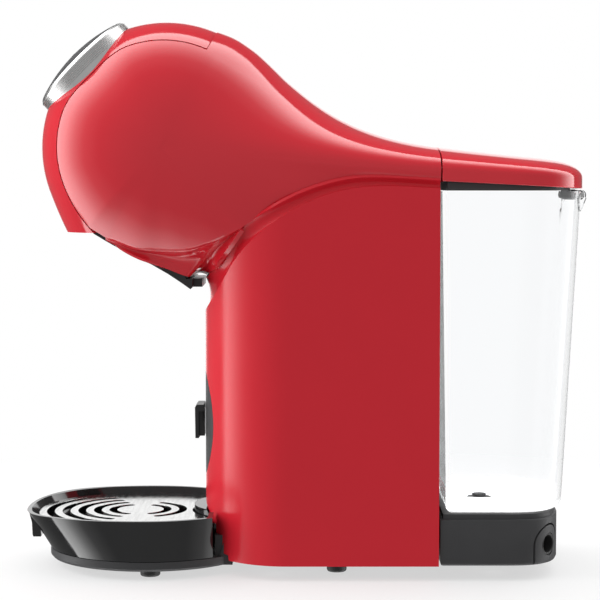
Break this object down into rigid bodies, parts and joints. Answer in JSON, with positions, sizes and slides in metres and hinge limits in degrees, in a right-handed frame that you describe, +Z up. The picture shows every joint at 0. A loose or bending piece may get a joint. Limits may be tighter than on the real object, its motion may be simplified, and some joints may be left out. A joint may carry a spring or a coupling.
{
  "type": "pod coffee machine",
  "caption": "Slim pod coffee machine with a round lever-visor head, tilted selector dial with push button, pod drawer, hooked drip tray and lift-off lidded water tank.",
  "frame": {"origin": "centre of the bounding box at the surface the machine stands on", "axes": "+Z up, -Y to the front where the cup stands, +Y to the water tank, +X to the side with the cord outlet"},
  "size_m": [0.11, 0.283, 0.2765],
  "materials": {
    "red_head": "satin gloss, smooth moulding",
    "red_column": "satin, very fine grain",
    "black_gloss": "high gloss",
    "black_matte": "satin, fine grain",
    "dark_grey": "fine spark-eroded grain",
    "frame_grey": "plain moulding",
    "dial_metal": "turned and brushed",
    "grid_steel": "pressed sheet, fine brushing",
    "steel": "plain",
    "tank_clear": "clear, high gloss",
    "rubber_black": "matte",
    "seal_rubber": "matte",
    "alloy": "as cast",
    "pump_metal": "satin",
    "board_green": "solder mask",
    "hose_pale": "translucent silicone",
    "white_plastic": "plain moulding"
  },
  "bodies": {
    "machine": {"base_screw_front_left": "steel", "base_screw_front_right": "steel", "base_screw_rear_left": "steel", "base_screw_rear_right": "steel", "bottom_cover": "dark_grey", "brew_frame": "frame_grey", "column_back_panel": "dark_grey", "column_insert": "dark_grey", "column_shell": "red_column", "control_board": "board_green", "cord_gland": "rubber_black", "dock_seal": "seal_rubber", "flow_meter": "white_plastic", "foot_front_left": "rubber_black", "foot_front_right": "rubber_black", "foot_middle_left": "rubber_black", "foot_middle_right": "rubber_black", "foot_plate": "dark_grey", "foot_rear": "rubber_black", "head_shell": "red_head", "hose_heater": "hose_pale", "hose_injector": "hose_pale", "hose_inlet": "hose_pale", "hose_pump": "hose_pale", "inner_frame": "frame_grey", "lever_switch": "black_matte", "neck_band": "red_column", "outlet_chassis": "black_matte", "pump": "pump_metal", "pump_mount_lower": "rubber_black", "pump_mount_upper": "rubber_black", "rear_base": "dark_grey", "rear_cover": "dark_grey", "tank_dock": "dark_grey", "thermoblock": "alloy", "tray_hook": "black_matte", "visor_hinge_pin_left": "steel", "visor_hinge_pin_right": "steel"},
    "visor": {"visor": "red_head", "visor_frame": "black_matte", "visor_liner": "black_matte", "dial_base": "black_matte", "display_board": "board_green"},
    "dial": {"dial_ring": "dial_metal"},
    "button": {"start_button": "dark_grey"},
    "holder": {"capsule_holder": "black_matte"},
    "injector": {"injector_plate": "frame_grey", "injection_needle": "steel", "injector_seal": "seal_rubber"},
    "tray": {"drip_tray": "black_gloss"},
    "grid": {"drip_grid": "grid_steel"},
    "tank": {"water_tank": "tank_clear", "tank_valve_body": "dark_grey", "lid_hinge_pin": "steel"},
    "plunger": {"valve_plunger": "dark_grey"},
    "lid": {"tank_lid": "red_head", "lid_liner": "dark_grey"}
  },
  "joints": [
    {"name": "visor_hinge", "type": "hinge", "parent": "machine", "child": "visor", "pos_m": [0, -0.05463, 0.26039], "axis": [-1, 0, 0], "range_deg": [0, 60]},
    {"name": "dial_turn", "type": "hinge", "parent": "visor", "child": "dial", "pos_m": [0, -0.069, 0.2125], "axis": [0, -0.7071, 0.7071], "continuous": true},
    {"name": "button_press", "type": "slide", "parent": "visor", "child": "button", "axis": [0, 0.7071, -0.7071], "range_m": [0, 0.0008], "stiffness_N_per_m": 1500},
    {"name": "holder_slide", "type": "slide", "parent": "machine", "child": "holder", "axis": [0, -1, 0], "range_m": [0, 0.0455]},
    {"name": "injector_lift", "type": "slide", "parent": "machine", "child": "injector", "axis": [0, 0, 1], "range_m": [0, 0.006]},
    {"name": "tray_slide", "type": "slide", "parent": "machine", "child": "tray", "axis": [0, -1, 0], "range_m": [0, 0.11]},
    {"name": "grid_lift", "type": "slide", "parent": "tray", "child": "grid", "axis": [0, 0, 1], "range_m": [0, 0.04]},
    {"name": "tank_lift", "type": "slide", "parent": "machine", "child": "tank", "axis": [0, 0, 1], "range_m": [0, 0.18]},
    {"name": "valve_lift", "type": "slide", "parent": "tank", "child": "plunger", "axis": [0, 0, 1], "range_m": [0, 0.002], "stiffness_N_per_m": 150},
    {"name": "lid_hinge", "type": "hinge", "parent": "tank", "child": "lid", "pos_m": [0, 0.1384, 0.189], "axis": [-1, 0, 0], "range_deg": [0, 95]}
  ],
  "couplings": [
    {"joint": "holder_slide", "follows": "visor_hinge", "m_per_rad": 0.043},
    {"joint": "injector_lift", "follows": "visor_hinge", "m_per_rad": 0.0057}
  ]
}
